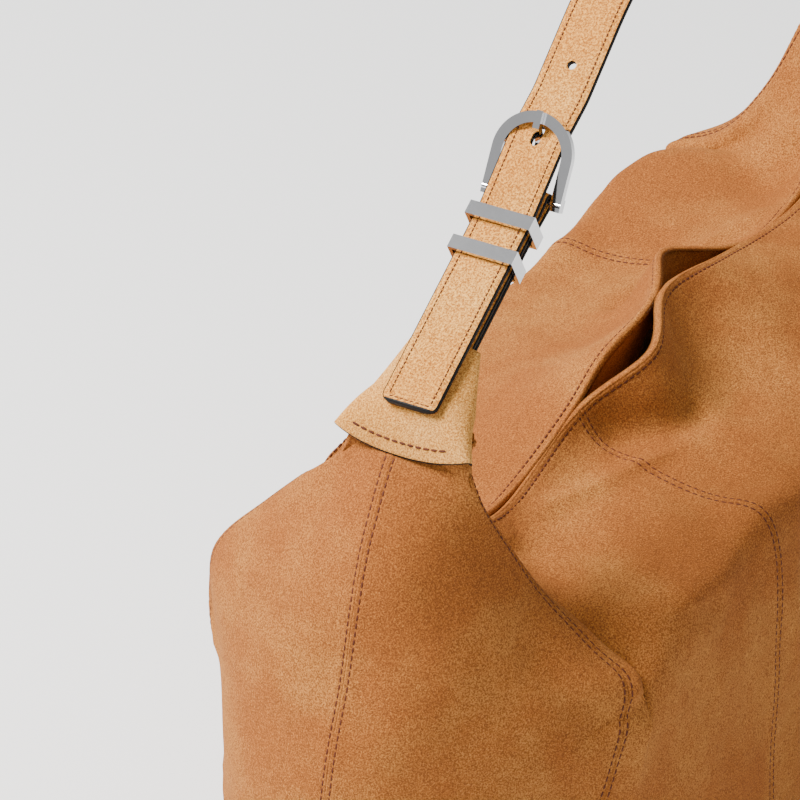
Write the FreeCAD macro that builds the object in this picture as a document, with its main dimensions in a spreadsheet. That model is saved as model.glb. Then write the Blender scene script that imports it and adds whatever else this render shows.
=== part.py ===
"""Suede hobo bag: a soft pieced body with two gathered horns, each horn bound by a folded
collar that holds a buckle strap, and one shoulder strap buckled at both ends.

Frame: millimetres, +Z up, X along the bag's length, front face towards -Y, origin at the
middle of the base on the surface that the bag stands on."""
import FreeCAD, Part
import math
import os
from FreeCAD import Placement, Rotation, Vector

SHEET_ROWS = (
    ("panel_thickness", 1.8, "suede of the body panels"),
    ("lining_gap", 0.6, "air between suede and lining"),
    ("lining_thickness", 0.8, "lining cloth"),
    ("base_thickness", 2.0, "suede of the base"),
    ("board_length", 330.0, "base board inside the bag"),
    ("board_width", 84.0, "base board inside the bag"),
    ("board_thickness", 2.0, "base board inside the bag"),
    ("facing_length", 84.0, "suede band inside each mouth edge"),
    ("facing_depth", 28.0, "suede band inside each mouth edge"),
    ("facing_thickness", 1.2, "suede band inside each mouth edge"),
    ("magnet_radius", 7.0, "magnetic closure disc"),
    ("magnet_thickness", 2.0, "magnetic closure disc"),
    ("strap_width", 22.0, "shoulder strap and buckle straps"),
    ("strap_thickness", 2.6, "two plies glued back to back"),
    ("tip_corner", 4.0, "rounded corner of a strap tip"),
    ("hole_radius", 1.7, "punched adjusting hole"),
    ("tongue_thickness", 4.4, "buckle strap, folded double"),
    ("tongue_length", 80.0, "buckle strap from the bar into the collar"),
    ("fold_radius", 3.6, "outside of the fold round the bar"),
    ("bar_radius", 1.5, "buckle bar"),
    ("frame_inside", 23.4, "clear width of the buckle"),
    ("frame_band", 4.1, "width of the buckle's flat band"),
    ("frame_depth", 2.6, "thickness of the buckle's band"),
    ("frame_leg", 15.0, "bar axis to the centre of the curved top"),
    ("prong_width", 2.6, "prong across the strap"),
    ("prong_slot", 5.0, "slot in the fold for the prong"),
    ("keeper_inside", 22.8, "clear width of a keeper"),
    ("keeper_height", 10.5, "clear height of a keeper"),
    ("keeper_wall", 1.5, "thickness of a keeper's wall"),
    ("keeper_length", 5.5, "keeper measured along the strap"),
    ("running_gap", 0.3, "clearance round everything that moves"),
)

doc = FreeCAD.newDocument("hobo_bag")
sheet = doc.addObject("Spreadsheet::Sheet", "dimensions")
for sheet_row, (alias, value, note) in enumerate(SHEET_ROWS, 1):
    sheet.set("A%d" % sheet_row, note)
    sheet.set("B%d" % sheet_row, str(value))
    sheet.setAlias("B%d" % sheet_row, alias)
doc.recompute()


def dim(alias):
    """The number in the sheet's cell of that name."""
    return float(sheet.get(alias))


def bind(thing, prop, expression):
    """Tie a property to cells of the sheet: names in the expression become cell references."""
    for name, _, _ in SHEET_ROWS:
        expression = expression.replace("<%s>" % name, "dimensions.%s" % name)
    thing.setExpression(prop, expression)


# ---------------------------------------------------------------- places of the hardware
TAIL_SLOPE = 29.4           # degrees, the strap where it lies on the collar
FRAME_SLOPE = 60.0          # degrees, the buckle leans up off the strap
BAR = Vector(-113.0, 0, 359.0)
KEEPER_PLACES = (("upper", -14.2), ("lower", -29.0))     # keeper's middle, along the tail from the bar
KEEPER_RISE = 2.55          # keeper's middle above the bar's axis, square to the tail
LOOK_BACK = Placement(Vector(0, 0, 0), Rotation(Vector(0, 0, 1), 180))


def at_bar(slope):
    """Local X up the strap, local Z outwards, origin on the left bar's axis."""
    return Placement(BAR, Rotation(Vector(0, 1, 0), -slope))


def both_ends(make):
    """The same piece at the left end and, turned half a turn about Z, at the right end."""
    make("left", Placement())
    make("right", LOOK_BACK)


# ---------------------------------------------------------------- features used again and again
parts = []


def keep(thing, label):
    thing.Label = label
    parts.append(thing)
    return thing


def new_body(label):
    return keep(doc.addObject("PartDesign::Body", label), label)


def new_sketch(body, name, role):
    sketch = body.newObject("Sketcher::SketchObject", name)
    plane = next(item for item in body.Origin.OriginFeatures if item.Role == role)
    sketch.AttachmentSupport = [(plane, "")]
    sketch.MapMode = "FlatFace"
    return sketch


def add_wire(sketch, points):
    """A closed run of straight lines through points (pairs)."""
    corners = [Vector(x, y, 0) for x, y in points]
    for start, end in zip(corners, corners[1:] + corners[:1]):
        sketch.addGeometry(Part.LineSegment(start, end), False)


def add_circle(sketch, x, y, radius):
    sketch.addGeometry(Part.Circle(Vector(x, y, 0), Vector(0, 0, 1), radius), False)


def pad(body, sketch, expression):
    """Extrude a sketch to both sides of its plane by half of the expression each way."""
    feature = body.newObject("PartDesign::Pad", sketch.Name + "_pad")
    feature.Profile = sketch
    feature.SideType = "Symmetric"
    bind(feature, "Length", expression)
    return feature


def pocket(body, sketch, expression):
    """Cut a sketch to both sides of its plane by half of the expression each way."""
    feature = body.newObject("PartDesign::Pocket", sketch.Name + "_pocket")
    feature.Profile = sketch
    feature.SideType = "Symmetric"
    bind(feature, "Length", expression)
    return feature


def ease(body, base, edges, radius):
    """Round the named edges of a feature and make the result the body's tip."""
    feature = body.newObject("PartDesign::Fillet", base.Name + "_ease")
    feature.Base = (base, edges)
    feature.Radius = radius
    body.Tip = feature
    return feature


# ---------------------------------------------------------------- body panels
# Half of the bag as stations from the middle of the left end, round the front, to the middle of
# the right end. Each station is a line of control points (x, y, z) from the base to the top edge.
# The other half is the same, turned half a turn about Z.
FRONT_LEFT = (
    ((-216, 0, 0), (-240, 0, 8), (-262, 0, 60), (-264, 0, 130),
     (-260, 0, 188), (-247, 0, 240), (-232, 0, 266), (-210, 0, 287)),
    ((-212, -26, 0), (-236, -34, 8), (-258, -44, 60), (-260, -46, 130),
     (-254, -44, 186), (-240, -38, 234), (-226, -32, 256), (-205, -18, 277)),
    ((-196, -46, 0), (-210, -60, 8), (-218, -72, 60), (-208, -76, 130),
     (-182, -84, 200), (-182, -62, 230), (-187, -42, 250), (-190, -28, 269)),
    ((-130, -54, 0), (-142, -68, 8), (-150, -84, 60), (-146, -88, 130),
     (-136, -86, 206), (-138, -62, 222), (-150, -26, 228), (-152, -1, 238)),
    ((-66, -56, 0), (-70, -70, 8), (-74, -86, 60), (-76, -90, 130),
     (-80, -86, 212), (-80, -60, 228), (-74, -24, 236), (-67, -1, 243)),
    ((-32, -56, 0), (-34, -70, 8), (-36, -86, 60), (-37, -90, 130),
     (-38, -86, 213), (-38, -58, 230), (-38, -30, 241), (-37, -12, 254)),
)
FRONT_RIGHT = (
    ((0, -56, 0), (0, -70, 8), (0, -86, 60), (0, -90, 130),
     (0, -86, 212), (0, -56, 232), (0, -26, 244), (0, -3, 256)),
    ((32, -56, 0), (34, -70, 8), (36, -86, 60), (37, -90, 130),
     (38, -86, 211), (38, -56, 230), (38, -22, 243), (36, -2.5, 252)),
    ((66, -56, 0), (70, -70, 8), (74, -86, 60), (76, -90, 130),
     (78, -86, 211), (78, -58, 228), (74, -24, 236), (67, -1, 243)),
    ((130, -54, 0), (142, -67, 8), (150, -82, 60), (146, -86, 130),
     (138, -87, 210), (140, -64, 228), (150, -27, 231), (152, -1, 238)),
    ((196, -46, 0), (210, -59, 8), (216, -68, 60), (208, -72, 130),
     (203, -82, 204), (197, -78, 236), (192, -48, 253), (190, -28, 269)),
    ((212, -26, 0), (236, -34, 8), (256, -44, 60), (258, -46, 130),
     (253, -46, 188), (239, -41, 236), (226, -33, 257), (205, -18, 277)),
)
HALF_BAG = FRONT_LEFT + FRONT_RIGHT
LAST_ROW = len(HALF_BAG[0]) - 1
STATIONS_PER_HALF = len(HALF_BAG)
ROUND = 2 * STATIONS_PER_HALF


def station(index):
    """Control points of any station round the bag: the second half is the first one turned."""
    half, step = divmod(index % ROUND, STATIONS_PER_HALF)
    turn = -1 if half else 1
    return [Vector(turn * x, turn * y, z) for x, y, z in HALF_BAG[step]]


NET = [station(index) for index in range(ROUND)]


def inward(index, row):
    """Unit vector into the bag at a control point, level along the base."""
    along = NET[(index + 1) % ROUND][row] - NET[index - 1][row]
    column = NET[index % ROUND]
    rise = column[min(row + 1, LAST_ROW)] - column[max(row - 1, 0)]
    normal = rise.cross(along)
    if row == 0:
        normal.z = 0
    return normal.normalize()


def layer(columns, rows, depth):
    """Net of control points a given depth inside the outer surface."""
    return [[NET[c % ROUND][r] + inward(c % ROUND, r) * depth for r in rows] for c in columns]


def knots(count, degree):
    """Clamped, evenly spaced knots: multiplicities, values."""
    spans = count - degree
    return [degree + 1] + [1] * (spans - 1) + [degree + 1], list(range(spans + 1))


def net_face(net):
    """B-spline face on a net of control points, cubic where it has four or more each way."""
    degrees = [min(3, len(net) - 1), min(3, len(net[0]) - 1)]
    (mults_a, knots_a), (mults_b, knots_b) = knots(len(net), degrees[0]), knots(len(net[0]), degrees[1])
    surface = Part.BSplineSurface()
    surface.buildFromPolesMultsKnots(net, mults_a, mults_b, knots_a, knots_b, False, False, *degrees)
    return surface.toShape()


def skin(columns, rows, outer_depth, inner_depth):
    """Closed solid between two depths of the bag's surface, over some stations and rows."""
    outer, inner = layer(columns, rows, outer_depth), layer(columns, rows, inner_depth)
    faces = [net_face(outer), net_face(inner)]
    for end in (0, -1):
        faces.append(net_face([outer[end], inner[end]]))
        faces.append(net_face([[net[end] for net in outer], [net[end] for net in inner]]))
    shell = Part.makeShell(faces)
    shell.sewShape()
    solid = Part.makeSolid(shell)
    if solid.Volume < 0:
        solid.reverse()
    return solid


def add_shape(label, shape):
    thing = doc.addObject("Part::Feature", label)
    thing.Shape = shape
    return keep(thing, label)


HALF = STATIONS_PER_HALF
GUSSET, TACK = 2, 4          # stations of the gusset seam and of the mouth's end
PANELS = (
    ("left_front_gusset", 0, GUSSET),
    ("front_side_panel", GUSSET, TACK),
    ("front_panel", TACK, HALF - GUSSET),
    ("right_front_gusset", HALF - GUSSET, HALF),
    ("right_back_gusset", HALF, HALF + GUSSET),
    ("back_side_panel", HALF + GUSSET, HALF + TACK),
    ("back_panel", HALF + TACK, ROUND - GUSSET),
    ("left_back_gusset", ROUND - GUSSET, ROUND),
)
suede = dim("panel_thickness")
for label, first, last in PANELS:
    add_shape(label, skin(range(first, last + 1), range(LAST_ROW + 1), 0, suede))

# ---------------------------------------------------------------- base, board, lining
edges = []
for _, first, last in PANELS:
    poles = [column[0] for column in layer(range(first, last + 1), (0,), suede)]
    degree = min(3, len(poles) - 1)
    mults, values = knots(len(poles), degree)
    curve = Part.BSplineCurve()
    curve.buildFromPolesMultsKnots(poles, mults, values, False, degree)
    edges.append(curve.toShape())
base_face = Part.Face(Part.Wire(edges))
add_shape("base_panel", base_face.extrude(Vector(0, 0, dim("base_thickness"))))

BOARD_GAP = 0.2
board = keep(doc.addObject("Part::Box", "base_board"), "base_board")
bind(board, "Length", "<board_length>")
bind(board, "Width", "<board_width>")
bind(board, "Height", "<board_thickness>")
board.Placement = Placement(Vector(-dim("board_length") / 2, -dim("board_width") / 2,
                                   dim("base_thickness") + BOARD_GAP), Rotation())

LINING_FOOT = 6.0
LINING_TOP = 212.0
lining_outer = suede + dim("lining_gap")
lining_inner = lining_outer + dim("lining_thickness")
slab = Part.makeBox(600, 200, LINING_TOP - LINING_FOOT, Vector(-300, -100, LINING_FOOT))
for label, group in (("front_lining", PANELS[:4]), ("back_lining", PANELS[4:])):
    sheets = [skin(range(first, last + 1), range(LAST_ROW + 1), lining_outer, lining_inner).common(slab)
              for _, first, last in group]
    add_shape(label, Part.makeCompound([solid for sheet_piece in sheets for solid in sheet_piece.Solids]))

# ---------------------------------------------------------------- mouth: facings and magnets
FACING_TOP = 243.0
FACING_Y = 5.6               # middle of the facing's thickness, from the bag's middle plane
MAGNET_Z = 232.0
GLUE_LINE = 0.1
for side, sign in (("front", -1), ("back", 1)):
    facing = keep(doc.addObject("Part::Box", side + "_facing"), side + "_facing")
    bind(facing, "Length", "<facing_length>")
    bind(facing, "Width", "<facing_thickness>")
    bind(facing, "Height", "<facing_depth>")
    middle = sign * FACING_Y - dim("facing_thickness") / 2
    facing.Placement = Placement(Vector(-dim("facing_length") / 2, middle, FACING_TOP - dim("facing_depth")),
                                 Rotation())
    magnet = keep(doc.addObject("Part::Cylinder", side + "_magnet"), side + "_magnet")
    bind(magnet, "Radius", "<magnet_radius>")
    bind(magnet, "Height", "<magnet_thickness>")
    inner_face = sign * (FACING_Y - dim("facing_thickness") / 2 - GLUE_LINE)
    magnet.Placement = Placement(Vector(0, inner_face, MAGNET_Z), Rotation(Vector(1, 0, 0), 90 * sign))


# ---------------------------------------------------------------- outline of the buckles
def horseshoe(sketch, half_width, reach):
    """Closed outline: two legs that run back past the bar, joined by a half round."""
    leg = dim("frame_leg")
    sketch.addGeometry([
        Part.LineSegment(Vector(-reach, -half_width, 0), Vector(leg, -half_width, 0)),
        Part.Arc(Vector(leg, -half_width, 0), Vector(leg + half_width, 0, 0), Vector(leg, half_width, 0)),
        Part.LineSegment(Vector(leg, half_width, 0), Vector(-reach, half_width, 0)),
        Part.LineSegment(Vector(-reach, half_width, 0), Vector(-reach, -half_width, 0))], False)


# ---------------------------------------------------------------- shoulder strap
# Outer face of the strap from its left tip, as corners (x, z) with the radius that rounds each.
TIP = (-198.0, 318.4)
STRAP_CORNERS = ((-126.0, 359.0, 60.0), (-102.0, 378.2, 24.0), (-85.0, 387.0, 30.0))
CROWN_START = (-62.0, 405.2)         # where the arch over the bag begins
FREE_HOLES = ((-76.0, 394.0), (-50.0, 413.5))


def rounded_run(start, corners, end):
    """Lines and tangent arcs from start to end: edges as Part geometry, in the sketch's plane."""
    geometry = []
    here = Vector(start[0], start[1], 0)
    stops = [Vector(x, z, 0) for x, z, _ in corners] + [Vector(end[0], end[1], 0)]
    for (x, z, radius), following in zip(corners, stops[1:]):
        corner = Vector(x, z, 0)
        into = (corner - here).normalize()
        out = (following - corner).normalize()
        turn = into.getAngle(out)
        trim = radius * math.tan(turn / 2)
        bisector = (out - into).normalize()
        first, last = corner - into * trim, corner + out * trim
        middle = corner + bisector * (radius / math.cos(turn / 2) - radius)
        geometry.append(Part.LineSegment(here, first))
        geometry.append(Part.Arc(first, middle, last))
        here = last
    geometry.append(Part.LineSegment(here, stops[-1]))
    return geometry


def offset_point(x, z, slope, depth):
    """A point below (x, z) by depth, square to a line of the given slope in degrees."""
    angle = math.radians(slope)
    return x + depth * math.sin(angle), z - depth * math.cos(angle)


def slope_between(first, second):
    return math.degrees(math.atan2(second[1] - first[1], second[0] - first[0]))


def inner_corners(depth):
    """The outer face's corners moved inwards by the strap's thickness."""
    line = [TIP] + [(x, z) for x, z, _ in STRAP_CORNERS] + [CROWN_START]
    slopes = [slope_between(a, b) for a, b in zip(line, line[1:])]
    moved = [offset_point(*TIP, slopes[0], depth)]
    for (x, z), before, after in zip(line[1:-1], slopes, slopes[1:]):
        half = math.radians(after - before) / 2
        moved.append(offset_point(x, z, (before + after) / 2, depth / math.cos(half)))
    moved.append(offset_point(*CROWN_START, slopes[-1], depth))
    return moved, slopes


strap_depth = dim("strap_thickness")
inner, slopes = inner_corners(strap_depth)
turns = [after - before for before, after in zip(slopes, slopes[1:])]
inner_run = [(x, z, radius + math.copysign(strap_depth, turn))
             for (x, z), (_, _, radius), turn in zip(inner[1:-1], STRAP_CORNERS, turns)]
crown_radius = -CROWN_START[0] / math.sin(math.radians(slopes[-1]))
crown_top = CROWN_START[1] + crown_radius * (1 - math.cos(math.radians(slopes[-1])))


def mirrored(geometry):
    """The same edges on the other side of the bag."""
    result = []
    for item in geometry:
        if isinstance(item, Part.LineSegment):
            ends = [Vector(-p.x, p.y, 0) for p in (item.EndPoint, item.StartPoint)]
            result.append(Part.LineSegment(*ends))
        else:
            arc = item.toShape()
            points = [arc.valueAt(arc.LastParameter), arc.valueAt((arc.FirstParameter + arc.LastParameter) / 2),
                      arc.valueAt(arc.FirstParameter)]
            result.append(Part.Arc(*[Vector(-p.x, p.y, 0) for p in points]))
    return result[::-1]


strap_body = doc.addObject("PartDesign::Body", "strap_band")
strap_sketch = new_sketch(strap_body, "strap_side", "XZ_Plane")
outer_left = rounded_run(TIP, STRAP_CORNERS, CROWN_START)
inner_left = rounded_run(inner[0], inner_run, inner[-1])
profile = outer_left + mirrored(outer_left) + inner_left + mirrored(inner_left)
for start, top in ((CROWN_START, crown_top), (inner[-1], crown_top - strap_depth)):
    profile.append(Part.Arc(Vector(*start, 0), Vector(0, top, 0), Vector(-start[0], start[1], 0)))
for sign in (1, -1):
    profile.append(Part.LineSegment(Vector(sign * TIP[0], TIP[1], 0),
                                    Vector(sign * inner[0][0], inner[0][1], 0)))
strap_sketch.addGeometry(profile, False)
strap_pad = pad(strap_body, strap_sketch, "<strap_width>")
doc.recompute()
tip_edges = ["Edge%d" % (number + 1) for number, edge in enumerate(strap_pad.Shape.Edges)
             if abs(edge.Length - strap_depth) < 0.01 and abs(edge.CenterOfMass.x) > -TIP[0] - 3]
tips = ease(strap_body, strap_pad, tip_edges, dim("tip_corner"))

# Slots that the prongs pass through: (distance from the bar, height) in the buckle's own plane.
SLOT_OUTLINE = ((6.0, 0.0), (27.0, -6.0), (27.0, 2.0), (25.0, 4.8), (14.0, 3.9), (6.0, 3.2))
SLOT_WIDTH = 3.6
SQUEEZE_START = 2.0
SQUEEZE_ROOM = 1.6
slot_sketch = new_sketch(strap_body, "prong_slots", "XZ_Plane")
for sign in (1, -1):
    lifted = [at_bar(FRAME_SLOPE).multVec(Vector(x, 0, z)) for x, z in SLOT_OUTLINE]
    add_wire(slot_sketch, [(sign * point.x, point.z) for point in lifted])
slots = strap_body.newObject("PartDesign::Pocket", "prong_slots_cut")
slots.Profile = slot_sketch
slots.SideType = "Symmetric"
slots.Length = SLOT_WIDTH
strap_body.Tip = slots

punches = []
for number, (x, z) in enumerate(FREE_HOLES):
    for side, turn in (("left", Placement()), ("right", LOOK_BACK)):
        punch = doc.addObject("Part::Cylinder", "%s_punch_%d" % (side, number))
        bind(punch, "Radius", "<hole_radius>")
        bind(punch, "Height", "<strap_thickness> * 4")
        lean = Placement(Vector(x, 0, z), Rotation(Vector(0, 1, 0), -slopes[-1]))
        punch.Placement = turn * lean * Placement(Vector(0, 0, -2 * strap_depth), Rotation())
        punches.append(punch)
# Room at the strap's edges where the curved top of each buckle squeezes it.
for side, turn in (("left", Placement()), ("right", LOOK_BACK)):
    room = doc.addObject("PartDesign::Body", side + "_squeeze")
    bow = new_sketch(room, side + "_bow", "XY_Plane")
    horseshoe(bow, dim("frame_inside") / 2 + dim("frame_band"), SQUEEZE_START)
    pad(room, bow, "<frame_depth> + 2 * %s" % SQUEEZE_ROOM)
    middle = new_sketch(room, side + "_bow_middle", "XY_Plane")
    horseshoe(middle, dim("frame_inside") / 2 - dim("running_gap"), SQUEEZE_START + 2)
    room.Tip = pocket(room, middle, "<frame_depth> * 8")
    room.Placement = turn * at_bar(FRAME_SLOPE)
    punches.append(room)
punch_set = doc.addObject("Part::MultiFuse", "punches")
punch_set.Shapes = punches
strap = keep(doc.addObject("Part::Cut", "strap"), "strap")
strap.Base = strap_body
strap.Tool = punch_set


# ---------------------------------------------------------------- collars
# Sections of the left collar from its hem to its top: middle (x, z), slope of the horn there,
# half width across the bag, half thickness.
COLLAR_SECTIONS = ((-196.0, 294.5, 50.0, 27.5, 7.5), (-189.7, 307.7, 41.0, 23.0, 9.5),
                   (-181.0, 316.7, 33.0, 18.5, 7.0), (-168.6, 327.4, 29.4, 13.5, 4.0))


def make_collar(side, turn):
    """Folded suede patch that binds the horn, with room for the end of the buckle strap."""
    ovals = []
    for number, (x, z, slope, half_width, half_thickness) in enumerate(COLLAR_SECTIONS):
        oval = doc.addObject("Part::Ellipse", "%s_collar_oval_%d" % (side, number))
        oval.MajorRadius = half_width
        oval.MinorRadius = half_thickness
        angle = math.radians(slope)
        outwards = Vector(-math.sin(angle), 0, math.cos(angle))
        across = Vector(0, 1, 0)
        oval.Placement = Placement(Vector(x, 0, z), Rotation(across, outwards, across.cross(outwards), "XYZ"))
        ovals.append(oval)
    loft = doc.addObject("Part::Loft", side + "_collar_loft")
    loft.Sections = ovals
    loft.Solid = True
    room = doc.addObject("Part::Box", side + "_collar_room")
    bind(room, "Length", "<tongue_length>")
    bind(room, "Width", "<strap_width> + 2 * <running_gap>")
    bind(room, "Height", "<tongue_thickness> + 2 * <running_gap>")
    corner = Vector(-dim("tongue_length") - dim("running_gap"),
                    -dim("strap_width") / 2 - dim("running_gap"),
                    -dim("tongue_thickness") / 2 - dim("running_gap"))
    room.Placement = at_bar(TAIL_SLOPE) * Placement(corner, Rotation())
    collar = keep(doc.addObject("Part::Cut", side + "_collar"), side + "_collar")
    collar.Base = loft
    collar.Tool = room
    collar.Placement = turn


# ---------------------------------------------------------------- buckle straps
def make_buckle_strap(side, turn):
    """Short strap folded round the bar, with a slot in the fold for the prong."""
    body = new_body(side + "_buckle_strap")
    half = dim("tongue_thickness") / 2
    length = dim("tongue_length")
    plies = new_sketch(body, side + "_plies", "XZ_Plane")
    add_wire(plies, [(-length, -half), (0, -half), (0, half), (-length, half)])
    first = pad(body, plies, "<strap_width>")
    fold = new_sketch(body, side + "_fold", "XZ_Plane")
    add_circle(fold, 0, 0, dim("fold_radius"))
    second = pad(body, fold, "<strap_width>")
    eye = new_sketch(body, side + "_eye", "XZ_Plane")
    add_circle(eye, 0, 0, dim("bar_radius") + dim("running_gap") / 3)
    third = pocket(body, eye, "<strap_width> + 2")
    slot = new_sketch(body, side + "_fold_slot", "XZ_Plane")
    reach = dim("fold_radius") + 1
    add_wire(slot, [(-reach, -reach), (reach, -reach), (reach, reach), (-reach, reach)])
    body.Tip = pocket(body, slot, "<prong_slot>")
    body.Placement = turn * at_bar(TAIL_SLOPE)


# ---------------------------------------------------------------- buckles
LUG_HALF = 2.4               # half the length of the square lugs at the ends of the legs
LUG_DROP = 1.0               # how far the lugs reach below the band


def make_frame(side, turn):
    """Flat horseshoe band with a lug at the end of each leg, which holds the bar."""
    body = new_body(side + "_buckle_frame")
    inside, half = dim("frame_inside") / 2, dim("frame_depth") / 2
    band = new_sketch(body, side + "_band", "XY_Plane")
    horseshoe(band, inside + dim("frame_band"), LUG_HALF)
    pad(body, band, "<frame_depth>")
    window = new_sketch(body, side + "_window", "XY_Plane")
    horseshoe(window, inside, 2 * LUG_HALF)
    pocket(body, window, "<frame_depth> * 2")
    lugs = new_sketch(body, side + "_lugs", "XZ_Plane")
    add_wire(lugs, [(-LUG_HALF, -half - LUG_DROP), (LUG_HALF, -half - LUG_DROP),
                    (LUG_HALF, half), (-LUG_HALF, half)])
    pad(body, lugs, "<frame_inside> + 2 * <frame_band>")
    clear = new_sketch(body, side + "_lug_gap", "XZ_Plane")
    reach, height = LUG_HALF + 1, half + 2 * LUG_DROP
    add_wire(clear, [(-reach, -height), (reach, -height), (reach, height), (-reach, height)])
    pocket(body, clear, "<frame_inside>")
    holes = new_sketch(body, side + "_bar_holes", "XZ_Plane")
    add_circle(holes, 0, 0, dim("bar_radius"))
    body.Tip = pocket(body, holes, "<frame_inside> + 2 * <frame_band> + 2")
    body.Placement = turn * at_bar(FRAME_SLOPE)


def make_bar(side, turn):
    bar = keep(doc.addObject("Part::Cylinder", side + "_buckle_bar"), side + "_buckle_bar")
    bind(bar, "Radius", "<bar_radius>")
    bind(bar, "Height", "<frame_inside> + 2 * <frame_band>")
    half = dim("frame_inside") / 2 + dim("frame_band")
    bar.Placement = turn * Placement(BAR, Rotation()) * Placement(Vector(0, half, 0),
                                                                  Rotation(Vector(1, 0, 0), 90))


# Side view of the prong's arm: (distance from the bar, height) in the buckle's own plane.
PRONG_ARM = ((0.5, -2.8), (20.6, -4.4), (25.9, 1.4), (31.2, 1.4), (31.2, 2.7), (30.5, 3.4),
             (24.6, 3.4), (19.6, -2.5), (1.5, -0.8))
PRONG_EYE = 2.9
PRONG_PLAY = 0.06


def make_prong(side, turn):
    """Tongue of the buckle: an eye round the bar and an arm that rests on the frame's top."""
    body = new_body(side + "_prong")
    arm = new_sketch(body, side + "_arm", "XZ_Plane")
    add_wire(arm, PRONG_ARM)
    pad(body, arm, "<prong_width>")
    ring = new_sketch(body, side + "_ring", "XZ_Plane")
    add_circle(ring, 0, 0, PRONG_EYE)
    pad(body, ring, "<prong_width>")
    bore = new_sketch(body, side + "_bore", "XZ_Plane")
    add_circle(bore, 0, 0, dim("bar_radius") + PRONG_PLAY)
    body.Tip = pocket(body, bore, "<prong_width> + 2")
    body.Placement = turn * at_bar(FRAME_SLOPE)


# ---------------------------------------------------------------- keepers
def make_keepers(side, turn):
    """Two flat rectangular loops round the strap and the buckle strap."""
    for name, along in KEEPER_PLACES:
        body = new_body("%s_%s_keeper" % (side, name))
        half_width, half_height, wall = dim("keeper_inside") / 2, dim("keeper_height") / 2, dim("keeper_wall")
        outline = new_sketch(body, "%s_%s_outline" % (side, name), "YZ_Plane")
        for grow in (wall, 0):
            across, up = half_width + grow, half_height + grow
            add_wire(outline, [(-across, -up), (across, -up), (across, up), (-across, up)])
        loop = pad(body, outline, "<keeper_length>")
        body.Tip = loop
        body.Placement = turn * at_bar(TAIL_SLOPE) * Placement(Vector(along, 0, KEEPER_RISE), Rotation())


for maker in (make_collar, make_buckle_strap, make_frame, make_bar, make_prong, make_keepers):
    both_ends(maker)

# ---------------------------------------------------------------- checks and files
doc.recompute()
for thing in doc.Objects:
    if "Invalid" in thing.State or "Error" in thing.State:
        raise RuntimeError("%s did not compute: %s" % (thing.Name, thing.State))
for thing in parts:
    if thing.Shape.isNull() or not thing.Shape.isValid() or not thing.Shape.Solids:
        raise RuntimeError("%s is not a valid solid" % thing.Label)

os.makedirs("parts", exist_ok=True)
for thing in parts:
    thing.Shape.exportStep("parts/%s.step" % thing.Label)
print("%d pieces written" % len(parts))
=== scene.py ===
"""Suede hobo bag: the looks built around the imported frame.

Metres, +Z up, X along the bag's length, front towards -Y. Sizes inside the functions are in
millimetres and turned to metres where a mesh is made."""
import math

import bpy
import numpy as np
from mathutils import Matrix, Vector


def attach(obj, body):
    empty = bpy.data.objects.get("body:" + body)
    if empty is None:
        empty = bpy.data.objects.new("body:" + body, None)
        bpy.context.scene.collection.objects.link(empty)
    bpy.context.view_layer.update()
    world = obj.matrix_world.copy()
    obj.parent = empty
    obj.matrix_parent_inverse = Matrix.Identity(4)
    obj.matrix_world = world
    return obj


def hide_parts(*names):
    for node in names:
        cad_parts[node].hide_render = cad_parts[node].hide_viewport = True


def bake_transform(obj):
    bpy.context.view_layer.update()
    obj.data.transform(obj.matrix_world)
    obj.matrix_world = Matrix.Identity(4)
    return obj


bl_info = {
    "name": "Suede hobo bag",
    "version": (1, 0, 0),
    "blender": (4, 5, 0),
    "location": "3D View > Sidebar > Hobo bag",
    "description": "Pieced suede body, folded collars, stitched strap and polished buckles",
    "category": "Object",
}

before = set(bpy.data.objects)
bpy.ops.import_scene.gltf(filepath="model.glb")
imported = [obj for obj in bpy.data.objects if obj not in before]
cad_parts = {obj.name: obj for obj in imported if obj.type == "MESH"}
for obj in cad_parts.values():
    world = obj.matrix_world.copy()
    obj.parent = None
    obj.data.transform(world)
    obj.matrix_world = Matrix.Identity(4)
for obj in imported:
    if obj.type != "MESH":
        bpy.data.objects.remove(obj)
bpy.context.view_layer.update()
MM = 0.001
ENDS = (("left", 1), ("right", -1))      # both ends, and the factor that turns one into the other


# ------------------------------------------------------------------ colour and numbers
def linear(code):
    """A colour written as sRGB hex, as linear red, green and blue."""
    parts = np.array([int(code[i:i + 2], 16) for i in (0, 2, 4)]) / 255.0
    return tuple(np.where(parts <= 0.04045, parts / 12.92, ((parts + 0.055) / 1.055) ** 2.4).tolist())


def spline_weights(count, at, closed):
    """Weights that carry numbered points to places between them on a smooth cubic line.

    The line is a uniform cubic B-spline whose control points are solved so that it passes
    through every point. An open line ends with no bend."""
    solve = np.eye(count) * 4 / 6 + np.eye(count, k=1) / 6 + np.eye(count, k=-1) / 6
    if closed:
        solve[0, -1] = solve[-1, 0] = 1 / 6
    else:
        solve[0] = np.eye(count)[0]
        solve[-1] = np.eye(count)[-1]
    at = np.asarray(at, float)
    base = np.floor(at).astype(int)
    if not closed:
        base = np.clip(base, 0, count - 2)
    f = at - base
    basis = np.stack([(1 - f) ** 3, 3 * f ** 3 - 6 * f ** 2 + 4,
                      -3 * f ** 3 + 3 * f ** 2 + 3 * f + 1, f ** 3]) / 6
    weights = np.zeros((len(at), count + 2))
    rows = np.arange(len(at))
    for step in range(4):
        column = base + step
        if closed:
            column = (column - 1) % count + 1
        np.add.at(weights, (rows, column), basis[step])
    inner = weights[:, 1:-1].copy()
    if not closed:
        inner[:, 0] += 2 * weights[:, 0]
        inner[:, 1] -= weights[:, 0]
        inner[:, -1] += 2 * weights[:, -1]
        inner[:, -2] -= weights[:, -1]
    return inner @ np.linalg.inv(solve)


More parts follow.
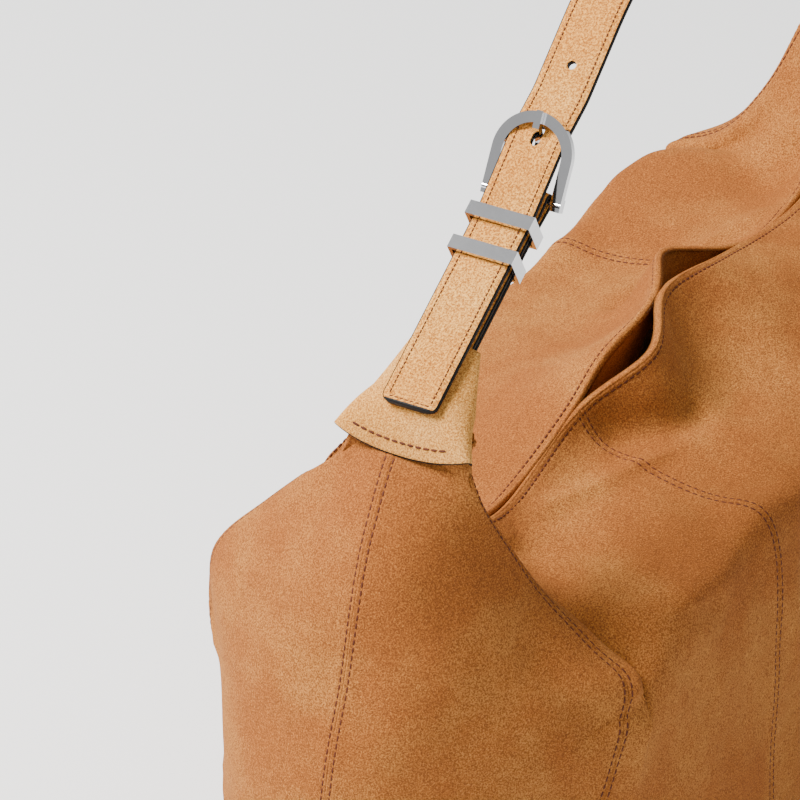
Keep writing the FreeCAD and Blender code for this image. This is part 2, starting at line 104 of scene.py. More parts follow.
def unit(vectors):
    """Vectors of length one, along the last axis."""
    return vectors / np.maximum(np.linalg.norm(vectors, axis=-1, keepdims=True), 1e-12)


def distances(line):
    """How far along a line each of its points lies."""
    return np.concatenate([[0], np.cumsum(np.linalg.norm(np.diff(line, axis=0), axis=1))])


def bell(distance, width):
    """1 on a line and fading to nothing a few widths away."""
    return np.exp(-(distance / width) ** 2)


# ------------------------------------------------------------------ the body's surface
# Points on the outer face, from the base to the top, at stations round the bag. The first
# list is the front left quarter, from the middle of the left end to the middle of the front.
FRONT_LEFT = (
    ((-216, 0, 0), (-238, 0, 10), (-259, 0, 60), (-263, 0, 125), (-257, 0, 186),
     (-241, 0, 238), (-226, 1.5, 272), (-201, 4.5, 298), (-190, 3, 308)),
    ((-212, -26, 0), (-232, -34, 10), (-248, -42, 60), (-248, -43, 127), (-237, -43, 190),
     (-224, -37, 232), (-211, -27, 264), (-199, -17, 296), (-188.5, -15, 306.5)),
    ((-194, -46, 0), (-208, -59, 10), (-214, -69, 60), (-206, -72, 128), (-180, -80, 200),
     (-173, -66, 219), (-179, -41, 246), (-197, -25, 294.5), (-187, -20, 304.5)),
    ((-172, -51, 0), (-182, -65, 10), (-190, -80, 60), (-184, -83, 128), (-168, -83, 196),
     (-164, -62, 217), (-169, -34, 238), (-189, -8, 286), (-184, -2, 298)),
    ((-146, -54, 0), (-153, -68, 10), (-158, -84, 60), (-156, -87, 130), (-148, -84, 204),
     (-146, -70, 225), (-148, -36, 226), (-155, -13, 236), (-166, -0.8, 255)),
    ((-108, -56, 0), (-112, -70, 10), (-115, -86, 60), (-115, -89, 130), (-110, -86, 200),
     (-108, -76, 222), (-110, -38, 225), (-116, -13, 228), (-122, -0.8, 234)),
    ((-66, -56, 0), (-70, -70, 10), (-72, -86, 60), (-72, -89, 130), (-68, -83, 210),
     (-67, -62, 221), (-67, -30, 225), (-67, -10, 232), (-67, -0.8, 243)),
    ((-32, -56, 0), (-34, -70, 10), (-36, -86, 60), (-37, -89, 130), (-36, -86, 198),
     (-36, -75, 219), (-37, -40, 225), (-35, -24, 238), (-33, -14.5, 255)),
)
# The front right quarter, from the middle of the front to the middle of the right end.
FRONT_RIGHT = (
    ((0, -56, 0), (0, -70, 10), (0, -86, 60), (0, -89, 130), (0, -83, 204),
     (0, -72, 220), (0, -34, 228), (0, -11, 245), (0, -1.8, 258)),
    ((32, -56, 0), (34, -70, 10), (36, -86, 60), (37, -89, 130), (38, -82, 210),
     (38, -62, 223), (38, -30, 236), (38, -11, 247), (36, -1.5, 252)),
    ((66, -56, 0), (70, -70, 10), (73, -86, 60), (76, -89, 130), (76, -82, 211),
     (74, -61, 223), (76, -30, 233), (71, -10, 240), (67, -0.8, 243)),
    ((108, -56, 0), (112, -70, 10), (115, -85, 60), (115, -88, 130), (114, -83, 212),
     (113, -62, 224), (114, -34, 230), (118, -13, 232), (122, -0.8, 234)),
    ((146, -54, 0), (153, -67, 10), (158, -81, 60), (156, -84, 130), (150, -84, 216),
     (148, -64, 226), (150, -36, 232), (156, -13, 240), (166, -0.8, 255)),
    ((172, -51, 0), (182, -63, 10), (190, -75, 60), (186, -78, 130), (180, -82, 214),
     (177, -68, 233), (175, -38, 247), (189, -8, 287), (184, -2, 298)),
    ((194, -46, 0), (206, -58, 10), (214, -66, 60), (208, -69, 130), (204, -76, 204),
     (199, -77, 235), (196, -50, 267), (197, -25, 295), (187, -20, 304.5)),
    ((212, -26, 0), (232, -34, 10), (248, -42, 60), (248, -43, 130), (240, -44, 194),
     (229, -42, 238), (214, -31, 269), (199, -17, 297), (188.5, -15, 307)),
)
HALF = np.array(FRONT_LEFT + FRONT_RIGHT, float)
NET = np.concatenate([HALF, HALF * (-1, -1, 1)])
ROUND = len(NET)                     # stations round the bag
TOP = NET.shape[1] - 1               # the last row
GUSSET, TACK = 2, 6                  # stations of the gusset seam and of the mouth's end
HALF_ROUND = ROUND // 2
END_SEAMS = (0, HALF_ROUND)
GUSSET_SEAMS = (GUSSET, HALF_ROUND - GUSSET, HALF_ROUND + GUSSET, ROUND - GUSSET)
SIDE_SEAMS = (TACK, HALF_ROUND + TACK)
PANELS = (
    ("left_front_gusset", 0, GUSSET),
    ("front_side_panel", GUSSET, TACK),
    ("front_panel", TACK, HALF_ROUND - GUSSET),
    ("right_front_gusset", HALF_ROUND - GUSSET, HALF_ROUND),
    ("right_back_gusset", HALF_ROUND, HALF_ROUND + GUSSET),
    ("back_side_panel", HALF_ROUND + GUSSET, HALF_ROUND + TACK),
    ("back_panel", HALF_ROUND + TACK, ROUND - GUSSET),
    ("left_back_gusset", ROUND - GUSSET, ROUND),
)
# How high each kind of seam is raised, and how deep the groove in its middle is, in mm.
SEAM_SHAPES = ((END_SEAMS, 0.6, 0.1), (GUSSET_SEAMS, 0.55, 0.45), (SIDE_SEAMS, 0.5, 0.45))
SUEDE = 1.8          # thickness of the body's suede
SEAM_ROW = 1.6       # a stitch row's distance from its seam
SWELL = 0.9          # height of the leather's slow swell
STEP = 0.01          # step of u or v for a slope
FOLD_REACH = (33.0, 36.0)        # mm for a station and for a row, when a fold's line is drawn
LIP_ROW = 3.4        # the mouth's stitch row from the turned edge
LIP_ROUND = 1.5      # radius of the turned edge
LIP_GROOVE = 1.4     # the crease beside the turned edge
# Soft folds and creases: station and row of each end, height (out is positive), width in mm.
FOLDS = (
    (2.5, 5.6, 2.2, 4.3, 1.6, 7), (1.5, 5.0, 2.1, 3.6, -2.2, 9), (3.2, 4.6, 5.2, 4.4, -2.0, 10),
    (3.2, 5.6, 4.4, 6.4, -3.5, 10), (6.2, 6.9, 7.4, 6.5, -4.0, 9), (5.1, 7.1, 6.2, 6.3, 1.6, 5),
    (4.2, 6.7, 4.9, 7.3, 1.2, 4), (0.9, 2.3, 1.1, 4.0, 1.6, 8), (31.0, 2.2, 31.3, 3.9, 2.2, 9),
    (30.6, 1.8, 30.9, 3.4, -2.4, 7), (30.4, 3.3, 31.6, 2.9, 1.4, 6), (1.3, 1.4, 2.0, 2.6, -2.0, 9),
    (8.2, 4.2, 9.8, 3.2, -2.6, 12), (6.4, 3.6, 7.6, 2.2, 2.0, 14), (10.6, 3.8, 12.4, 2.4, 2.4, 13),
    (11.4, 5.2, 12.9, 4.4, -2.6, 9), (4.6, 2.6, 5.8, 1.2, -2.0, 12), (27.8, 6.3, 28.9, 7.2, 1.4, 4),
    (28.2, 5.5, 28.8, 6.6, -2.0, 8), (13.2, 4.9, 14.4, 3.4, 2.0, 9), (26.0, 5.2, 27.6, 4.6, -2.0, 11),
)


def surface(u, v):
    """Points of the smooth surface, pair by pair, at stations u and rows v."""
    across = spline_weights(ROUND, np.ravel(u) % ROUND, True)
    up = spline_weights(TOP + 1, np.ravel(v), False)
    return np.einsum("pi,ijk,pj->pk", across, NET, up)


def smooth_grid(u, v):
    """The smooth surface on a grid, with its outward normals and its mm for each step of u and v."""
    across = spline_weights(ROUND, u % ROUND, True)
    up = spline_weights(TOP + 1, v, False)
    over = spline_weights(ROUND, (u + STEP) % ROUND, True)
    below = spline_weights(TOP + 1, v - STEP, False)
    place = np.einsum("ui,ijk,vj->uvk", across, NET, up)
    along_u = (np.einsum("ui,ijk,vj->uvk", over, NET, up) - place) / STEP
    along_v = (place - np.einsum("ui,ijk,vj->uvk", across, NET, below)) / STEP
    normal = unit(np.cross(along_u, along_v))
    return place, normal, np.linalg.norm(along_u, axis=2), np.linalg.norm(along_v, axis=2)


def undulation(place):
    """Slow uneven swell of soft leather: a sum of sine waves that lie in several directions."""
    x, y, z = np.moveaxis(place, -1, 0)
    waves = np.sin(x / 23 + y / 31 + 0.7) * np.sin(z / 27 - y / 19 + 1.9)
    waves += 0.7 * np.sin(x / 13 - z / 17 + 2.2) * np.sin(y / 15 + z / 21)
    waves += 0.4 * np.sin(x / 7.5 + z / 9.5 + 4.1) * np.sin(y / 8.5 - x / 11 + 1.1)
    return waves


def round_distance(u, station):
    """How many stations lie between u and a station, the short way round."""
    return np.abs((u - station + ROUND / 2) % ROUND - ROUND / 2)


def relief(u, v, place, step_u, step_v):
    """Height in mm above the smooth surface: swell, folds, raised seams, dents under the stitches
    and the rounding of the turned edges at the top."""
    height = SWELL * undulation(place) * np.clip(v / 2, 0, 1) * np.clip((TOP - 0.6 - v) / 2, 0, 1)
    for turn in (0, HALF_ROUND):
        for u0, v0, u1, v1, rise, width in FOLDS:
            du = (u - (u0 + turn) + ROUND / 2) % ROUND - ROUND / 2
            line = np.array([u1 - u0, v1 - v0]) * FOLD_REACH
            across = du * np.maximum(step_u, 8.0)
            up = (v - v0) * np.maximum(step_v, 8.0)
            share = np.clip((across * line[0] + up * line[1]) / (line @ line), 0, 1)
            gap = np.hypot(across - share * line[0], up - share * line[1])
            height = height + rise * bell(gap, width)
    for stations, raised, groove in SEAM_SHAPES:
        for station in stations:
            gap = round_distance(u, station) * step_u
            height = height + raised * bell(gap, 3.4) - groove * bell(gap, 0.4)
            height = height - 0.4 * bell(gap - SEAM_ROW, 0.5)
    to_top = (TOP - v) * step_v
    height = height + 0.5 * bell(to_top, 5.0) - 0.4 * bell(to_top - LIP_ROW, 0.6)
    height = height - 0.3 * bell(to_top - LIP_GROOVE, 0.35)
    edge = np.clip(to_top, 0, LIP_ROUND)
    return height - (LIP_ROUND - np.sqrt(LIP_ROUND ** 2 - (LIP_ROUND - edge) ** 2))


def body_grid(u, v, depth=0.0):
    """The finished outer face on a grid, or a layer a given depth inside it, with normals."""
    place, normal, step_u, step_v = smooth_grid(u, v)
    height = relief(u[:, None], v[None, :], place, step_u, step_v)
    return place + normal * (height - depth)[..., None], normal


def body_line(u, v, lift):
    """Points and normals along a line of pairs (u, v) on the finished face, lifted a little."""
    place = surface(u, v)
    step_u = (surface(u + STEP, v) - place) / STEP
    step_v = (place - surface(u, v - STEP)) / STEP
    normal = unit(np.cross(step_u, step_v))
    lengths = np.linalg.norm(step_u, axis=1), np.linalg.norm(step_v, axis=1)
    height = relief(np.asarray(u, float), np.asarray(v, float), place, *lengths)
    return place + normal * (height + lift)[:, None], normal


def clustered(first, last, step, near):
    """Numbers from first to last, a step apart, and closer together at both ends."""
    middle = np.linspace(first, last, max(3, int(round((last - first) / step)) + 1))[1:-1]
    ends = np.array([0, 0.35, 0.8, 1.2, 1.6, 2.0, 2.6, 3.4, 4.4]) * near
    inner = middle[(middle > first + ends[-1] + step / 3) & (middle < last - ends[-1] - step / 3)]
    return np.concatenate([first + ends, inner, (last - ends)[::-1]])


# ------------------------------------------------------------------ meshes
def finish_piece(name, points, faces, materials, material_index=None, smooth=True):
    """A new object from points in millimetres, at the origin, with its place in its mesh."""
    mesh = bpy.data.meshes.new(name)
    mesh.from_pydata((np.asarray(points, float).reshape(-1, 3) * MM).tolist(), [], faces)
    for material in materials:
        mesh.materials.append(material)
    if material_index is not None:
        mesh.polygons.foreach_set("material_index", np.asarray(material_index, np.int32))
    mesh.polygons.foreach_set("use_smooth", np.full(len(mesh.polygons), smooth))
    mesh.update()
    piece = bpy.data.objects.new(name, mesh)
    bpy.context.scene.collection.objects.link(piece)
    return piece


def grid_faces(rows, columns, wrap_rows=False, wrap_columns=False):
    """Four-cornered faces of a grid of points, joined round where it wraps."""
    index = np.arange(rows * columns).reshape(rows, columns)
    if wrap_rows:
        index = np.concatenate([index, index[:1]])
    if wrap_columns:
        index = np.concatenate([index, index[:, :1]], axis=1)
    corners = [index[:-1, :-1], index[1:, :-1], index[1:, 1:], index[:-1, 1:]]
    return np.stack(corners, axis=-1).reshape(-1, 4).tolist()


def shell(name, outer, inner, materials):
    """A closed sheet between two grids of the same size, with a rim round its four sides."""
    rows, columns = outer.shape[:2]
    faces = grid_faces(rows, columns)
    size = rows * columns
    faces += [[size + corner for corner in face[::-1]] for face in faces]
    index = np.arange(size).reshape(rows, columns)
    rim = np.concatenate([index[:, 0], index[-1, 1:], index[-2::-1, -1], index[0, -2:0:-1]])
    following = np.roll(rim, -1)
    faces += np.stack([following, rim, rim + size, following + size], axis=1).tolist()
    return finish_piece(name, np.concatenate([outer.reshape(-1, 3), inner.reshape(-1, 3)]), faces, materials)


def bead():
    """One stitch: a short rounded rod along X, from -1/2 to 1/2, of radius 1, as rings of points."""
    places = np.array([-0.5, -0.36, 0.0, 0.36, 0.5])
    radii = np.array([0.35, 0.85, 1.0, 0.85, 0.35])
    angles = np.arange(6) * math.pi / 3
    ring = np.stack([np.zeros(6), np.cos(angles), np.sin(angles)], axis=1)
    points = ring[None] * radii[:, None, None]
    points[..., 0] += places[:, None]
    faces = grid_faces(len(places), 6, wrap_columns=True)
    faces.append(list(range(6)))
    faces.append(list(range(len(places) * 6 - 1, len(places) * 6 - 7, -1)))
    return points.reshape(-1, 3), [face[::-1] for face in faces]


def stitches(lines, pitch, length, width, sink=0.05):
    """Points and faces of all the stitches along lines of (points, normals), a pitch apart."""
    rod, rod_faces = bead()
    places, alongs, ups = [], [], []
    for points, normals in lines:
        run = distances(points)
        count = max(1, int(run[-1] / pitch))
        at = (np.arange(count) + 0.5) * run[-1] / count

        def along_line(values):
            """Values of the line at the stitches."""
            return np.stack([np.interp(at, run, values[:, k]) for k in range(3)], axis=1)

        places.append(along_line(points))
        alongs.append(along_line(np.gradient(points, run, axis=0)))
        ups.append(along_line(normals))
    place, along, up = (np.concatenate(part) for part in (places, alongs, ups))
    along = unit(along)
    side = unit(np.cross(up, along))
    up = np.cross(along, side)
    points = (place[:, None] + along[:, None] * rod[None, :, :1] * length
              + side[:, None] * rod[None, :, 1:2] * width / 2
              + up[:, None] * (rod[None, :, 2:] * width / 2 * 0.7 - sink))
    shift = np.arange(len(place)) * len(rod)
    faces = []
    for corners in (4, 6):
        group = [face for face in rod_faces if len(face) == corners]
        faces += (np.array(group)[None] + shift[:, None, None]).reshape(-1, corners).tolist()
    return points.reshape(-1, 3), faces


def stitch_piece(name, lines, pitch, length, width, material):
    """All the stitches along some lines, as one object."""
    points, faces = stitches(lines, pitch, length, width)
    return finish_piece(name, points, faces, [material])


# ------------------------------------------------------------------ materials
def add(tree, kind, inputs=None, **settings):
    """A node with its settings, its constants and its links: an input is a value or a socket."""
    made = tree.nodes.new(kind)
    for key, value in settings.items():
        setattr(made, key, value)
    for key, value in (inputs or {}).items():
        if isinstance(value, bpy.types.NodeSocket):
            tree.links.new(value, made.inputs[key])
        else:
            made.inputs[key].default_value = value
    return made


def new_material(name):
    """A material with an empty tree, and that tree."""
    material = bpy.data.materials.new(name)
    material.use_nodes = True
    material.node_tree.nodes.clear()
    return material, material.node_tree


def rgba(colour):
    """A colour with full cover."""
    return (*colour[:3], 1.0)


def pattern(tree, coords, size_mm, detail, roughness=0.55, stretch=(1, 1, 1)):
    """Noise whose grains are about size_mm across."""
    place = add(tree, "ShaderNodeMapping", {"Vector": coords, "Scale": stretch})
    return add(tree, "ShaderNodeTexNoise", {"Vector": place.outputs[0], "Scale": 1 / (size_mm * MM),
                                            "Detail": detail, "Roughness": roughness}).outputs[0]


def spread(tree, value, low, high):
    """A value stretched so that low becomes 0 and high becomes 1."""
    return add(tree, "ShaderNodeMapRange", {"Value": value, "From Min": low, "From Max": high},
               interpolation_type="SMOOTHSTEP").outputs[0]


def blend_colours(tree, factor, first, second):
    """Colour between two, by a factor."""
    made = add(tree, "ShaderNodeMix", {0: factor, 6: first, 7: second}, data_type="RGBA")
    return made.outputs[2]


def split_suede(name, dark, middle, light, grain_mm, contrast, rise_mm):
    """Split suede: leather sanded to a short nap that lies in brushed patches, so its colour drifts from dark
    to light over centimetres, and its fibres clump into a fine speckle. The speckle is partly painted shade
    and highlight: the colour is darker where the grain's bump is low and lighter on its raised tips."""
    material, tree = new_material(name)
    coords = add(tree, "ShaderNodeTexCoord").outputs["Object"]
    broad = spread(tree, pattern(tree, coords, 48, 3.0, 0.6), 0.36, 0.66)
    brushed = spread(tree, pattern(tree, coords, 11, 3.0, 0.6, (1, 1, 1.6)), 0.35, 0.7)
    grain = pattern(tree, coords, grain_mm, 3.0, 0.75)
    speckle = spread(tree, grain, 0.5 - 0.5 / contrast, 0.5 + 0.5 / contrast)
    drift = add(tree, "ShaderNodeMath", {0: broad, 1: 0.5}, operation="MULTIPLY").outputs[0]
    tone = blend_colours(tree, drift, rgba(middle), rgba(light))
    shade = add(tree, "ShaderNodeMath", {0: brushed, 1: 0.35}, operation="MULTIPLY").outputs[0]
    tone = blend_colours(tree, shade, tone, rgba(middle))
    # painted shade: the colour darkens towards the dark colour where the grain's bump is low, in the hollows
    # of the nap
    deep = add(tree, "ShaderNodeMapRange", {"Value": speckle, "To Min": 0.15, "To Max": 1.0}).outputs[0]
    colour = blend_colours(tree, deep, rgba(dark), tone)
    # painted highlight: the grain's raised tips are lightened towards the light colour
    tips = spread(tree, grain, 0.58, 0.74)
    tip_highlight = add(tree, "ShaderNodeMath", {0: tips, 1: 0.7}, operation="MULTIPLY").outputs[0]
    colour = blend_colours(tree, tip_highlight, colour, rgba(light))
    bump = add(tree, "ShaderNodeBump", {"Height": grain, "Strength": 0.8, "Distance": rise_mm * MM})
    soft = add(tree, "ShaderNodeBump", {"Height": brushed, "Strength": 0.35, "Distance": 0.5 * MM,
                                        "Normal": bump.outputs[0]})
    shader = add(tree, "ShaderNodeBsdfPrincipled",
                 {"Base Color": colour, "Roughness": 0.95, "Specular IOR Level": 0.1, "Sheen Weight": 0.12,
                  "Sheen Roughness": 0.5, "Sheen Tint": rgba(light), "Normal": soft.outputs[0]})
    add(tree, "ShaderNodeOutputMaterial", {"Surface": shader.outputs[0]})
    return material


def plain(name, colour, roughness, metallic=0.0, grain_mm=0.4, rise_mm=0.02, drift=0.15, gloss_level=0.5):
    """A near-even finish with slight drift of its tone and a faint grain in its gloss."""
    material, tree = new_material(name)
    coords = add(tree, "ShaderNodeTexCoord").outputs["Object"]
    grain = pattern(tree, coords, grain_mm, 2.0)
    tone = spread(tree, pattern(tree, coords, grain_mm * 12, 3.0), 0.3, 0.7)
    darker = tuple(part * (1 - drift) for part in colour[:3])
    gloss = add(tree, "ShaderNodeMapRange", {"Value": grain, "From Min": 0.3, "From Max": 0.7,
                                             "To Min": roughness * 0.8, "To Max": roughness * 1.2}).outputs[0]
    bump = add(tree, "ShaderNodeBump", {"Height": grain, "Strength": 0.5, "Distance": rise_mm * MM})
    shader = add(tree, "ShaderNodeBsdfPrincipled",
                 {"Base Color": blend_colours(tree, tone, rgba(darker), rgba(colour)), "Roughness": gloss,
                  "Metallic": metallic, "Specular IOR Level": gloss_level, "Normal": bump.outputs[0]})
    add(tree, "ShaderNodeOutputMaterial", {"Surface": shader.outputs[0]})
    return material


def twisted_thread(name, colour):
    """Bonded polyester thread, laid in a tight twist that shows as slanted ribs, with a painted highlight on
    each rib's crest.
    """
    material, tree = new_material(name)
    coords = add(tree, "ShaderNodeTexCoord").outputs["Object"]
    slant = add(tree, "ShaderNodeMapping", {"Vector": coords, "Rotation": (0.6, 0.5, 0.4)})
    ribs = add(tree, "ShaderNodeTexWave", {"Vector": slant.outputs[0], "Scale": 0.31 / (0.35 * MM) / 6.28,
                                           "Distortion": 0.6}).outputs[1]
    # painted highlight: the ribs' crests, where the bump is high, are lighter
    rib_highlight = tuple(min(1.0, part * 1.35) for part in colour[:3])
    bump = add(tree, "ShaderNodeBump", {"Height": ribs, "Strength": 0.6, "Distance": 0.06 * MM})
    shader = add(tree, "ShaderNodeBsdfPrincipled",
                 {"Base Color": blend_colours(tree, ribs, rgba(colour), rgba(rib_highlight)), "Roughness": 0.7,
                  "Specular IOR Level": 0.25, "Normal": bump.outputs[0]})
    add(tree, "ShaderNodeOutputMaterial", {"Surface": shader.outputs[0]})
    return material


def plain_weave(name, colour, thread_mm):
    """Cotton lining in a plain weave: two crossed sets of threads, drawn at their own spacing, with painted
    shade darkening the weave's hollows between the crossings.
    """
    material, tree = new_material(name)
    coords = add(tree, "ShaderNodeTexCoord").outputs["Object"]
    scale = 1 / (thread_mm * MM) / 3.14
    warp = add(tree, "ShaderNodeTexWave", {"Vector": coords, "Scale": scale}, bands_direction="X").outputs[1]
    weft = add(tree, "ShaderNodeTexWave", {"Vector": coords, "Scale": scale}, bands_direction="Z").outputs[1]
    cross = add(tree, "ShaderNodeMath", {0: warp, 1: weft}, operation="MULTIPLY").outputs[0]
    bump = add(tree, "ShaderNodeBump", {"Height": cross, "Strength": 0.6, "Distance": 0.12 * MM})
    # painted shade: darker where the weave's bump is low, between the thread crossings
    darker = tuple(part * 0.7 for part in colour[:3])
    shader = add(tree, "ShaderNodeBsdfPrincipled",
                 {"Base Color": blend_colours(tree, cross, rgba(darker), rgba(colour)), "Roughness": 0.9,
                  "Sheen Weight": 0.1, "Normal": bump.outputs[0]})
    add(tree, "ShaderNodeOutputMaterial", {"Surface": shader.outputs[0]})
    return material


# ------------------------------------------------------------------ what a user may change
def colour_prop(name, description, code):
    """A setting that holds a colour."""
    return bpy.props.FloatVectorProperty(name=name, description=description, subtype="COLOR", size=3,
                                         min=0.0, max=1.0, default=linear(code))


def length_prop(name, description, millimetres):
    """A setting that holds a length."""
    return bpy.props.FloatProperty(name=name, description=description, unit="LENGTH", subtype="DISTANCE",
                                   min=0.0, default=millimetres * MM)


class BodyLook(bpy.types.PropertyGroup):
    """Suede and thread of the body and its collars."""
    # The deep colours also paint shade in the hollows of the nap's grain; the rubbed and pale colours also
    # paint a highlight on its raised tips.
    deep: colour_prop("Deep", "Shade between the fibres of the body's nap", "66371A")
    camel: colour_prop("Camel", "Main shade of the body", "9F5E2A")
    rubbed: colour_prop("Rubbed", "Shade where the nap lies smooth", "CB8E48")
    collar_deep: colour_prop("Collar deep", "Shade between the fibres of the collars", "8E5420")
    collar_tan: colour_prop("Collar tan", "Main shade of the collars", "DA9A4A")
    collar_pale: colour_prop("Collar pale", "Rubbed shade of the collars", "F0BC70")
    thread: colour_prop("Thread", "Thread of every seam", "4A200C")
    pitch: length_prop("Stitch pitch", "From one stitch of the body to the next", 3.0)
    stitch: length_prop("Stitch length", "The part of the pitch that shows", 2.2)
    thickness: length_prop("Thread thickness", "Width of a stitch", 0.95)
    grain: length_prop("Grain", "Size of the clumps of fibre in the nap", 0.6)


class StrapLook(bpy.types.PropertyGroup):
    """Suede, edge paint and metal of the strap and its buckles."""
    # Deep also paints shade in the hollows of the strap's grain; pale also paints a highlight on its raised
    # tips.
    deep: colour_prop("Deep", "Shade between the clumps of the strap's nap", "8A4C18")
    tan: colour_prop("Tan", "Main shade of the strap", "DC9846")
    pale: colour_prop("Pale", "Rubbed shade of the strap", "F2BC68")
    paint: colour_prop("Edge paint", "Painted edges of strap and collars", "0B0807")
    metal: colour_prop("Metal", "Nickel plate of buckles and keepers", "DCDCDE")
    pitch: length_prop("Stitch pitch", "From one stitch of the strap to the next", 1.9)
    inset: length_prop("Stitch inset", "From the strap's edge to its stitch row", 2.8)
    grain: length_prop("Grain", "Size of the clumps of fibre", 0.75)


class InsideLook(bpy.types.PropertyGroup):
    """Lining, board and magnets."""
    cotton: colour_prop("Cotton", "Lining cloth", "6B5038")
    board: colour_prop("Board", "Pressed fibre board in the base", "6E6152")
    thread_spacing: length_prop("Thread spacing", "From one lining thread to the next", 0.6)


class StageLook(bpy.types.PropertyGroup):
    """Floor, light and camera."""
    floor: colour_prop("Floor", "Pale floor", "FAFAFA")
    key: bpy.props.FloatProperty(name="Key", description="Power of the main light",
                                 unit="POWER", default=112.0)
    fill: bpy.props.FloatProperty(name="Fill", description="Power of the filling light",
                                  unit="POWER", default=6.0)
    world: bpy.props.FloatProperty(name="Sky", description="Strength of the light from all round",
                                   default=0.55)


def looks():
    """The four groups of settings."""
    scene = bpy.context.scene
    return scene.bag_body, scene.bag_strap, scene.bag_inside, scene.bag_stage


def finish_of(name):
    """The material of that name, made at its first use."""
    if name in bpy.data.materials:
        return bpy.data.materials[name]
    body, strap, inside = looks()[:3]
    grain, strap_grain = body.grain / MM, strap.grain / MM
    makers = {
        "camel_split_suede": lambda: split_suede(name, body.deep, body.camel, body.rubbed, grain, 4.4, 0.4),
        "tan_collar_suede": lambda: split_suede(name, body.collar_deep, body.collar_tan, body.collar_pale,
                                                grain, 4.0, 0.35),
        "coarse_strap_suede": lambda: split_suede(name, strap.deep, strap.tan, strap.pale,
                                                  strap_grain, 4.4, 0.45),
        "painted_edge": lambda: plain(name, strap.paint, 0.6, grain_mm=0.8, rise_mm=0.05,
                                      gloss_level=0.2),
        "polished_nickel": lambda: plain(name, strap.metal, 0.09, metallic=1.0, grain_mm=0.5, rise_mm=0.002,
                                         drift=0.04),
        "brown_bonded_thread": lambda: twisted_thread(name, body.thread),
        "cotton_plain_weave": lambda: plain_weave(name, inside.cotton, inside.thread_spacing / MM),
        "pressed_fibre_board": lambda: plain(name, inside.board, 0.85, grain_mm=1.2, rise_mm=0.1, drift=0.3),
        "nickel_plated_magnet": lambda: plain(name, strap.metal, 0.22, metallic=1.0, grain_mm=0.7,
                                              rise_mm=0.01, drift=0.1),
    }
    return makers[name]()


def over_the_swing(piece):
    """Bake a piece's place into its mesh and leave it at the origin; nothing is bent."""
    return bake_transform(piece)


PANEL_STEP = 0.07        # stations or rows from one point of a panel to the next
EDGE_STEP = 0.045        # the same beside a seam
HORN_ROW = 7.0           # the row from which the points cluster at the mouth's edge


def panel_samples(first, last):
    """Places along and up a panel, closer together beside its seams and at the mouth."""
    u = clustered(first, last, PANEL_STEP, EDGE_STEP)
    even = np.linspace(0, HORN_ROW, 106)[:-1]
    v = np.concatenate([even, clustered(HORN_ROW, TOP, PANEL_STEP, EDGE_STEP)])
    return u, v


class BAG_OT_body(bpy.types.Operator):
    """Eight suede panels, cut along the seams from one slack surface with folds"""
    bl_idname = "bag.body"
    bl_label = "Body panels"

    def execute(self, context):
        suede = finish_of("camel_split_suede")
        for name, first, last in PANELS:
            u, v = panel_samples(first, last)
            outer, normal = body_grid(u, v)
            piece = shell(name + "_suede", outer, outer - normal * SUEDE, [suede])
            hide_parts(name)
            over_the_swing(piece)
        return {"FINISHED"}


class BAG_OT_base(bpy.types.Operator):
    """Suede base panel inside the body's lower edge, and the board that stiffens it"""
    bl_idname = "bag.base"
    bl_label = "Base"

    def execute(self, context):
        u = np.linspace(0, ROUND, 161)[:-1]
        rim = surface(u, np.zeros_like(u)) * (0.985, 0.97, 1)
        rings = np.linspace(0.03, 1, 14)
        under = rim[:, None] * np.stack([rings, rings, np.zeros_like(rings)], axis=1)[None]
        edge = 0.8 * np.clip((rings - 0.96) / 0.04, 0, 1)
        loops = np.concatenate([under + edge[None, :, None] * (0, 0, 1),
                                (under + (2.0 - edge)[None, :, None] * (0, 0, 1))[:, ::-1]], axis=1)
        faces = [face[::-1] for face in grid_faces(*loops.shape[:2], wrap_rows=True)]
        count = loops.shape[1]
        faces.append([row * count for row in range(len(loops))][::-1])
        faces.append([row * count + count - 1 for row in range(len(loops))])
        piece = finish_piece("base_suede", loops, faces, [finish_of("camel_split_suede")])
        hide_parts("base_panel")
        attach(piece, "bag")
        dress("base_board", "pressed_fibre_board")
        return {"FINISHED"}


def dress(node, finish):
    """Give a CAD node its finish."""
    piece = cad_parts[node]
    if not piece.material_slots:
        piece.data.materials.append(finish_of(finish))
    for place in piece.material_slots:
        place.material = finish_of(finish)


LINING_ROWS = (0.35, 5.2)        # the lining's lowest and highest row
LINING_DEPTH = 3.2               # from the suede's outer face to the lining
LINING_THICK = 0.8
FACING_FOOT = 214.0              # height of the facings' lower edge
FACING_GAP = 5.0                 # half the space between the facings there
FACING_THICK = 1.2


